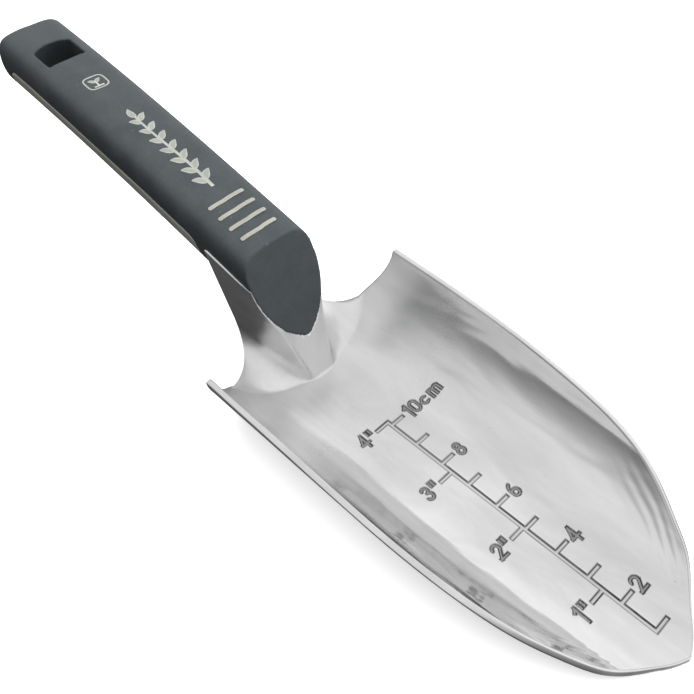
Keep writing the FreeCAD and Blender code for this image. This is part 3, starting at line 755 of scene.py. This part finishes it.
def rib_depth(along, across):
    """The same, from the section's own figures, where the ribs' slots are."""
    lift = natural_spline(*np.array(TOP_SECTION).T, np.ravel(across)).reshape(np.shape(across))
    return lift + read_table(BOW, along)


def on_top(along, across, proud, depth):
    """Points that stand proud of the handle's top by a given amount."""
    down = depth(along, across) - proud
    return (START + along[..., None] * REARWARD + down[..., None] * DOWN
            + across[..., None] * np.array([0, 1.0, 0]))


def closed_patch(outline_grid, top, bottom, first, depth):
    """Points and faces of a thin closed slab over a grid of (along, across) places."""
    along_count, across_count = outline_grid.shape[:2]
    above = on_top(outline_grid[..., 0], outline_grid[..., 1], top, depth).reshape(-1, 3)
    below = on_top(outline_grid[..., 0], outline_grid[..., 1], bottom, depth).reshape(-1, 3)
    n = along_count * across_count
    quads = [grid_faces(along_count, across_count, first),
             grid_faces(along_count, across_count, first + n, flip=True)]
    g = first + np.arange(n).reshape(along_count, across_count)
    ring = np.concatenate([g[:, 0], g[-1, 1:], g[::-1, -1][1:], g[0, ::-1][1:-1]])
    after = np.roll(ring, -1)
    quads.append(np.stack([ring, after, after + n, ring + n], 1))
    return np.concatenate([above, below]), [f for q in quads for f in q.tolist()]


def slab_object(name, grids, top, bottom, depth):
    """One object made of a closed slab per grid."""
    blocks, slab_faces, first = [], [], 0
    for g in grids:
        block, block_faces = closed_patch(g, top, bottom, first, depth)
        blocks.append(block)
        slab_faces += block_faces
        first += len(block)
    made = make_object(name, np.concatenate(blocks), slab_faces, sharp_degrees=45)
    face_outward(made)
    return made


RIB_PITCH = 4.96
RIB_HALF = [6.73, 6.98, 6.91, 6.68]    # half lengths
RIB_HALF_WIDTH, RIB_END_WIDTH = 0.62, 0.02
RIB_KINK, KINK_LENGTH = 0.16, 1.4
rib_grids = []
for n, reach in enumerate(RIB_HALF):
    across = reach * np.sin(np.linspace(-math.pi / 2, math.pi / 2, 41))
    end = np.clip((reach - np.abs(across)) / RIB_HALF_WIDTH, 0, 1)
    half_width = RIB_HALF_WIDTH * np.sqrt(np.maximum(1 - (1 - end) ** 2, 0.0)) + RIB_END_WIDTH
    # Each rib is two flats that meet in a slight kink near its middle.
    kink = RIB_KINK * smoothstep((across - 0.6 + 0.5 * n) / KINK_LENGTH) - RIB_KINK / 2
    across_rows = np.linspace(-1, 1, 7)
    along = n * RIB_PITCH + kink[:, None] + half_width[:, None] * across_rows[None, :]
    rib_grids.append(np.stack([along, across[:, None] + 0 * along], -1))
RIB_PROUD, RIB_SUNK = 0.2, -1.2
ribs = slab_object("show_through_ribs", rib_grids, RIB_PROUD, RIB_SUNK, rib_depth)

PRINT_MIDDLE = 0.3      # the prints sit this far off the centre line
PRINT_PROUD, PRINT_SUNK = 0.05, -0.3


def strip(path, widths, across_count=3):
    """A band along a path of (along, across) places."""
    path = np.asarray(path, float)
    run = unit(np.gradient(path, axis=0))
    aside = np.stack([-run[:, 1], run[:, 0]], 1)
    spots = np.linspace(-0.5, 0.5, across_count)
    return path[:, None] + aside[:, None] * (np.asarray(widths)[:, None] * spots[None])[..., None]


def leaf(root, heading, length, breadth):
    """A slightly curled pointed leaf, headed so many radians off the stem."""
    t = np.linspace(0, 1, 13)
    curl = 0.10 * length * np.sin(math.pi * t)
    direction = np.array([math.cos(heading), math.sin(heading)])
    aside = np.array([-direction[1], direction[0]]) * (1 if math.sin(heading) > 0 else -1)
    path = np.array(root) + t[:, None] * length * direction - curl[:, None] * aside
    widths = breadth * np.sin(math.pi * t ** 0.8) ** 0.8 + 0.04
    return strip(path, widths, 5)


# A leafy sprig.
SPRIG_START, SPRIG_END = 21.5, 65.0
LEAF_PAIRS, LEAF_PITCH, LEAF_TURN = 7, 5.5, math.radians(44)
STEM_COUNT = 60
stem_along = np.linspace(SPRIG_START, SPRIG_END - 4, STEM_COUNT)
stem = np.stack([stem_along, PRINT_MIDDLE + 0.35 * np.sin((stem_along - 21) / 7.0)], 1)
print_grids = [strip(stem, np.linspace(1.15, 0.7, STEM_COUNT))]
for n in range(LEAF_PAIRS):
    at = SPRIG_START + 2.0 + LEAF_PITCH * n
    for sign in (-1, 1):
        print_grids.append(leaf((at + (1.3 if sign > 0 else 0), PRINT_MIDDLE + 0.3 * sign),
                                sign * LEAF_TURN, 5.0 - 0.12 * n, 2.5 - 0.05 * n))
print_grids.append(leaf((SPRIG_END - 5.0, PRINT_MIDDLE), 0.001, 5.0, 2.3))

# Round-cornered badge with a single seedling in it.
BADGE_ALONG, BADGE_HALF = 82.4, (3.25, 3.6)
BADGE_LINE, SEEDLING_LINE = 0.5, 0.6
GROUND = BADGE_ALONG - 2.2
GROUND_HALF = 1.8


def rounded(wave):
    """A wave flattened so that a circle becomes a rounded square."""
    return np.sign(wave) * np.abs(wave) ** 0.5


turn = np.linspace(0, 2 * math.pi, 73)
badge = np.stack([rounded(np.cos(turn)) * BADGE_HALF[0] + BADGE_ALONG,
                  rounded(np.sin(turn)) * BADGE_HALF[1] + PRINT_MIDDLE], 1)
print_grids.append(strip(badge, np.full(73, BADGE_LINE)))
print_grids.append(strip([(GROUND, PRINT_MIDDLE), (BADGE_ALONG, PRINT_MIDDLE),
                          (BADGE_ALONG + 0.6, PRINT_MIDDLE)], np.full(3, SEEDLING_LINE)))
print_grids.append(strip([(GROUND, PRINT_MIDDLE + side) for side in (-GROUND_HALF, 0, GROUND_HALF)],
                         np.full(3, SEEDLING_LINE)))
for sign in (-1, 1):
    print_grids.append(leaf((BADGE_ALONG - 0.3, PRINT_MIDDLE + 0.1 * sign), sign * math.radians(50),
                            2.9, 1.5))
prints = slab_object("grip_prints", print_grids, PRINT_PROUD, PRINT_SUNK, top_depth)


# ------------------------------------------------------------------ materials
class Finish:
    """A material under construction: short names for the nodes used here."""

    def __init__(self, name):
        self.material = bpy.data.materials.new(name)
        self.material.use_nodes = True
        self.tree = self.material.node_tree
        self.tree.nodes.clear()
        self.shader = self.node("ShaderNodeBsdfPrincipled")
        out = self.node("ShaderNodeOutputMaterial")
        self.link(self.shader.outputs["BSDF"], out.inputs["Surface"])
        self.place = self.node("ShaderNodeTexCoord").outputs["Object"]

    def node(self, kind, **settings):
        made = self.tree.nodes.new(kind)
        for key, value in settings.items():
            setattr(made, key, value)
        return made

    def link(self, a, b):
        self.tree.links.new(a, b)

    def stretched(self, scale, turn=(0, 0, 0)):
        mapping = self.node("ShaderNodeMapping")
        mapping.inputs["Scale"].default_value = scale
        mapping.inputs["Rotation"].default_value = turn
        self.link(self.place, mapping.inputs["Vector"])
        return mapping.outputs["Vector"]

    def noise(self, scale, detail=3.0, rough=0.5, where=None, twist=0.0):
        made = self.node("ShaderNodeTexNoise")
        made.inputs["Scale"].default_value = scale
        made.inputs["Detail"].default_value = detail
        made.inputs["Roughness"].default_value = rough
        made.inputs["Distortion"].default_value = twist
        self.link(where or self.place, made.inputs["Vector"])
        return made.outputs["Fac"]

    def ramp(self, value, stops):
        made = self.node("ShaderNodeValToRGB")
        items = made.color_ramp.elements
        while len(items) < len(stops):
            items.new(0.5)
        for item, (at, colour) in zip(items, stops):
            item.position = at
            item.color = (*colour, 1) if len(colour) == 3 else colour
        self.link(value, made.inputs["Fac"])
        return made.outputs["Color"]

    def grey(self, value, low, high, dark, light):
        """A plain 0..1 remap of a value."""
        made = self.node("ShaderNodeMapRange")
        for socket, number in zip(("From Min", "From Max", "To Min", "To Max"), (low, high, dark, light)):
            made.inputs[socket].default_value = number
        self.link(value, made.inputs["Value"])
        return made.outputs["Result"]

    def mix(self, kind, amount, a, b):
        made = self.node("ShaderNodeMix", data_type="RGBA", blend_type=kind)
        for socket, value in ((made.inputs[0], amount), (made.inputs[6], a), (made.inputs[7], b)):
            if hasattr(value, "links"):
                self.link(value, socket)
            else:
                socket.default_value = value
        return made.outputs[2]

    def bump(self, height, distance, strength=1.0, after=None):
        made = self.node("ShaderNodeBump")
        made.inputs["Distance"].default_value = distance
        made.inputs["Strength"].default_value = strength
        self.link(height, made.inputs["Height"])
        if after:
            self.link(after, made.inputs["Normal"])
        return made.outputs["Normal"]

    def convexity(self):
        return self.node("ShaderNodeNewGeometry").outputs["Pointiness"]

    def attribute(self, name):
        return self.node("ShaderNodeAttribute", attribute_name=name).outputs["Fac"]

    def use(self, colour=None, roughness=None, normal=None):
        for socket, value in (("Base Color", colour), ("Roughness", roughness), ("Normal", normal)):
            if value is not None:
                self.link(value, self.shader.inputs[socket])


def aluminium():
    f = Finish("polished_cast_aluminium")
    f.shader.inputs["Metallic"].default_value = 1.0
    brushed, groove = f.attribute("brushed"), f.attribute("groove")
    smudge = f.noise(1.0, 4, 0.6, f.stretched((22, 60, 60)), twist=0.6)
    tone = f.ramp(smudge, [(0.3, (0.70, 0.70, 0.70)), (0.68, (0.88, 0.88, 0.88))])
    # Painted shade: the groove walls and floors are darkened towards near black.
    tone = f.mix("MIX", f.grey(groove, 0.1, 1.0, 0.0, 0.9), tone, (0.05, 0.05, 0.055, 1))
    pits = f.noise(900, 2, 0.5)
    tone = f.mix("MULTIPLY", f.grey(pits, 0.76, 0.80, 0.0, 0.55), tone, (0.45, 0.45, 0.45, 1))
    # Fine lines along the blade and a second set that crosses the neck's foot.
    streak = f.noise(1.0, 3, 0.6, f.stretched((60, 2600, 2600)))
    cross = f.noise(1.0, 2, 0.5, f.stretched((2400, 90, 2400), (0, 0, 0.7)))
    polish = f.mix("MIX", 0.5, f.grey(streak, 0.3, 0.75, 0.05, 0.14), f.grey(smudge, 0.35, 0.7, 0.06, 0.14))
    satin = f.mix("MIX", 0.5, f.grey(cross, 0.3, 0.75, 0.26, 0.42), f.grey(smudge, 0.35, 0.7, 0.30, 0.40))
    cloud = f.noise(1.0, 2, 0.45, f.stretched((20, 75, 75)), twist=0.4)
    bend = f.bump(cloud, 0.0008, 1.0)
    bend = f.bump(streak, 0.000008, 1.0, bend)
    bend = f.bump(cross, 0.0000015, 1.0, bend)
    f.use(tone, f.mix("MIX", brushed, polish, satin), bend)
    return f.material


def rubber():
    f = Finish("soft_grip_rubber")
    f.shader.inputs["Specular IOR Level"].default_value = 0.5
    mottle = f.noise(120, 4, 0.6)
    grain = f.noise(2600, 2, 0.6)
    tone = f.ramp(mottle, [(0.3, (0.031, 0.038, 0.043)), (0.7, (0.047, 0.055, 0.060))])
    tone = f.mix("OVERLAY", 0.35, tone, f.ramp(grain, [(0.3, (0.3, 0.3, 0.3)), (0.7, (0.72, 0.72, 0.7))]))
    worn = f.grey(f.convexity(), 0.55, 0.64, 0.0, 0.4)
    tone = f.mix("MIX", worn, tone, (0.09, 0.10, 0.10, 1))
    rough = f.grey(mottle, 0.3, 0.7, 0.46, 0.60)
    f.use(tone, rough, f.bump(grain, 0.00004, 0.5))
    return f.material


def plastic(name, low, high, grain_depth):
    f = Finish(name)
    mottle = f.noise(180, 3, 0.55)
    grain = f.noise(3000, 2, 0.5)
    tone = f.ramp(mottle, [(0.3, low), (0.7, high)])
    worn = f.grey(f.convexity(), 0.52, 0.62, 0.0, 0.4)
    tone = f.mix("MIX", worn, tone, (0.62, 0.62, 0.58, 1))
    f.use(tone, f.grey(mottle, 0.3, 0.7, 0.42, 0.56), f.bump(grain, grain_depth, 0.5))
    return f.material


def paint(obj, material, slot, *nodes):
    obj.data.materials.clear()
    obj.data.materials.append(material)
    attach(obj, "root")
    if nodes:
        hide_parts(*nodes)


core_plastic = plastic("core_plastic", (0.33, 0.33, 0.29), (0.40, 0.40, 0.355), 0.00003)
rib_plastic = plastic("rib_plastic", (0.25, 0.25, 0.215), (0.31, 0.31, 0.27), 0.00003)
print_ink = plastic("print_ink", (0.22, 0.235, 0.21), (0.27, 0.285, 0.255), 0.00002)
paint(casting, aluminium(), "cast_aluminium", "blade_casting")
paint(grip, rubber(), "grip_rubber", "soft_grip")
paint(core, core_plastic, "core_plastic", "handle_core")
paint(ribs, rib_plastic, "core_plastic")
paint(prints, print_ink, "core_plastic")

# ------------------------------------------------------------------ stage, light and camera
scene = bpy.context.scene
scene.view_settings.view_transform = "Standard"
scene.view_settings.look = "None"

floor_mesh = bpy.data.meshes.new("floor")
FLOOR_HALF = 3.0
FLOOR_Z = -0.0001
floor_corners = [(-FLOOR_HALF, -FLOOR_HALF), (FLOOR_HALF, -FLOOR_HALF),
                 (FLOOR_HALF, FLOOR_HALF), (-FLOOR_HALF, FLOOR_HALF)]
floor_mesh.from_pydata([(x, y, FLOOR_Z) for x, y in floor_corners], [], [(0, 1, 2, 3)])
floor = bpy.data.objects.new("floor", floor_mesh)
scene.collection.objects.link(floor)
pale = Finish("floor_paper")
pale.shader.inputs["Roughness"].default_value = 0.9
pale.shader.inputs["Specular IOR Level"].default_value = 0.0
pale.shader.inputs["Emission Color"].default_value = (1, 1, 1, 1)
pale.shader.inputs["Emission Strength"].default_value = 0.45
pale.use(pale.ramp(pale.noise(6, 2), [(0.3, (0.90, 0.90, 0.90)), (0.7, (0.92, 0.92, 0.92))]))
floor_mesh.materials.append(pale.material)
floor.visible_glossy = False
floor.visible_diffuse = False

world = bpy.data.worlds.new("studio")
scene.world = world
world.use_nodes = True
tree = world.node_tree
tree.nodes.clear()
direction = tree.nodes.new("ShaderNodeTexCoord").outputs["Generated"]
axes = tree.nodes.new("ShaderNodeSeparateXYZ")
tree.links.new(direction, axes.inputs[0])


def world_ramp(source, stops):
    """Grey levels by a value that runs from -1 to 1."""
    low, high = -1, 1
    span = tree.nodes.new("ShaderNodeMapRange")
    span.inputs["From Min"].default_value = low
    span.inputs["From Max"].default_value = high
    tree.links.new(source, span.inputs["Value"])
    ramp = tree.nodes.new("ShaderNodeValToRGB")
    ramp.color_ramp.interpolation = "B_SPLINE"
    items = ramp.color_ramp.elements
    while len(items) < len(stops):
        items.new(0.5)
    for item, (at, level) in zip(items, stops):
        item.position = (at - low) / (high - low)
        item.color = (level, level, level, 1)
    tree.links.new(span.outputs["Result"], ramp.inputs["Fac"])
    return ramp.outputs["Color"]


# Radiance by height of the direction, for the near side (-Y) and the far side (+Y).
# The scene is lit by these bands, which the polished metal reflects.
near_side = world_ramp(axes.outputs["Z"],
                       [(-1, 0.08), (-0.3, 0.05), (0.0, 0.14), (0.2, 0.27), (0.4, 0.38), (0.6, 0.68),
                        (0.75, 0.88), (0.9, 0.84), (1, 0.80)])
# The far side is brighter towards the blade's end than towards the handle's.
far_rear = world_ramp(axes.outputs["Z"],
                      [(-1, 0.12), (-0.25, 0.20), (0.0, 0.8), (0.12, 1.5), (0.3, 1.2), (0.5, 0.80),
                       (1, 0.80)])
far_front = world_ramp(axes.outputs["Z"],
                       [(-1, 0.30), (-0.25, 0.60), (0.0, 1.7), (0.12, 2.8), (0.3, 2.5), (0.5, 0.98),
                        (1, 0.80)])
along_mix = world_ramp(axes.outputs["X"], [(-0.55, 0.0), (-0.42, 0.3), (-0.25, 1.0)])
side_mix = world_ramp(axes.outputs["Y"], [(-0.5, 0.0), (-0.1, 0.3), (0.2, 1.0)])


def world_mix(amount, a, b):
    made = tree.nodes.new("ShaderNodeMix")
    made.data_type = "RGBA"
    tree.links.new(amount, made.inputs[0])
    tree.links.new(a, made.inputs[6])
    tree.links.new(b, made.inputs[7])
    return made.outputs[2]


surround = world_mix(side_mix, near_side, world_mix(along_mix, far_rear, far_front))
sky = tree.nodes.new("ShaderNodeBackground")
tree.links.new(surround, sky.inputs["Color"])
paper = tree.nodes.new("ShaderNodeBackground")
paper.inputs["Color"].default_value = (0.93, 0.93, 0.93, 1)
seen = tree.nodes.new("ShaderNodeLightPath")
choose = tree.nodes.new("ShaderNodeMixShader")
tree.links.new(seen.outputs["Is Camera Ray"], choose.inputs[0])
tree.links.new(sky.outputs[0], choose.inputs[1])
tree.links.new(paper.outputs[0], choose.inputs[2])
tree.links.new(choose.outputs[0], tree.nodes.new("ShaderNodeOutputWorld").inputs["Surface"])


def area_light(name, place, target, width, height, watts):
    """A soft light that lights surfaces but isn't mirrored in the metal."""
    data = bpy.data.lights.new(name, "AREA")
    data.shape = "RECTANGLE"
    data.size, data.size_y = width, height
    data.energy = watts
    made = bpy.data.objects.new(name, data)
    scene.collection.objects.link(made)
    made.location = place
    made.rotation_euler = (Vector(target) - Vector(place)).to_track_quat("-Z", "Y").to_euler()
    made.visible_camera = False
    made.visible_glossy = False
    return made


area_light("overhead", (0.0, 0.1, 1.2), (0, 0, 0), 1.4, 1.4, 14)
area_light("far_fill", (0.1, 0.8, 0.65), (0.05, 0, 0), 1.1, 0.4, 7)

camera_data = bpy.data.cameras.new("camera")
camera_data.sensor_width = 36
camera_data.lens = 41.674
camera = bpy.data.objects.new("camera", camera_data)
scene.collection.objects.link(camera)
# Place and aim were solved from the centimetre ticks, the blade's corners, the ribs and the hanging hole.
CAMERA_FORWARD = Vector((-0.502655, 0.440809, -0.743657)).normalized()
ROUGHLY_UP = Vector((-0.513736, 0.539539, 0.667063))
CAMERA_PLACE = Vector((0.1414466, -0.1039543, 0.1986946))
camera_right = CAMERA_FORWARD.cross(ROUGHLY_UP).normalized()
camera_up = camera_right.cross(CAMERA_FORWARD)
turned = Matrix((camera_right, camera_up, -CAMERA_FORWARD)).transposed().to_4x4()
turned.translation = CAMERA_PLACE
camera.matrix_world = turned
camera_data.clip_start = 0.01
scene.camera = camera
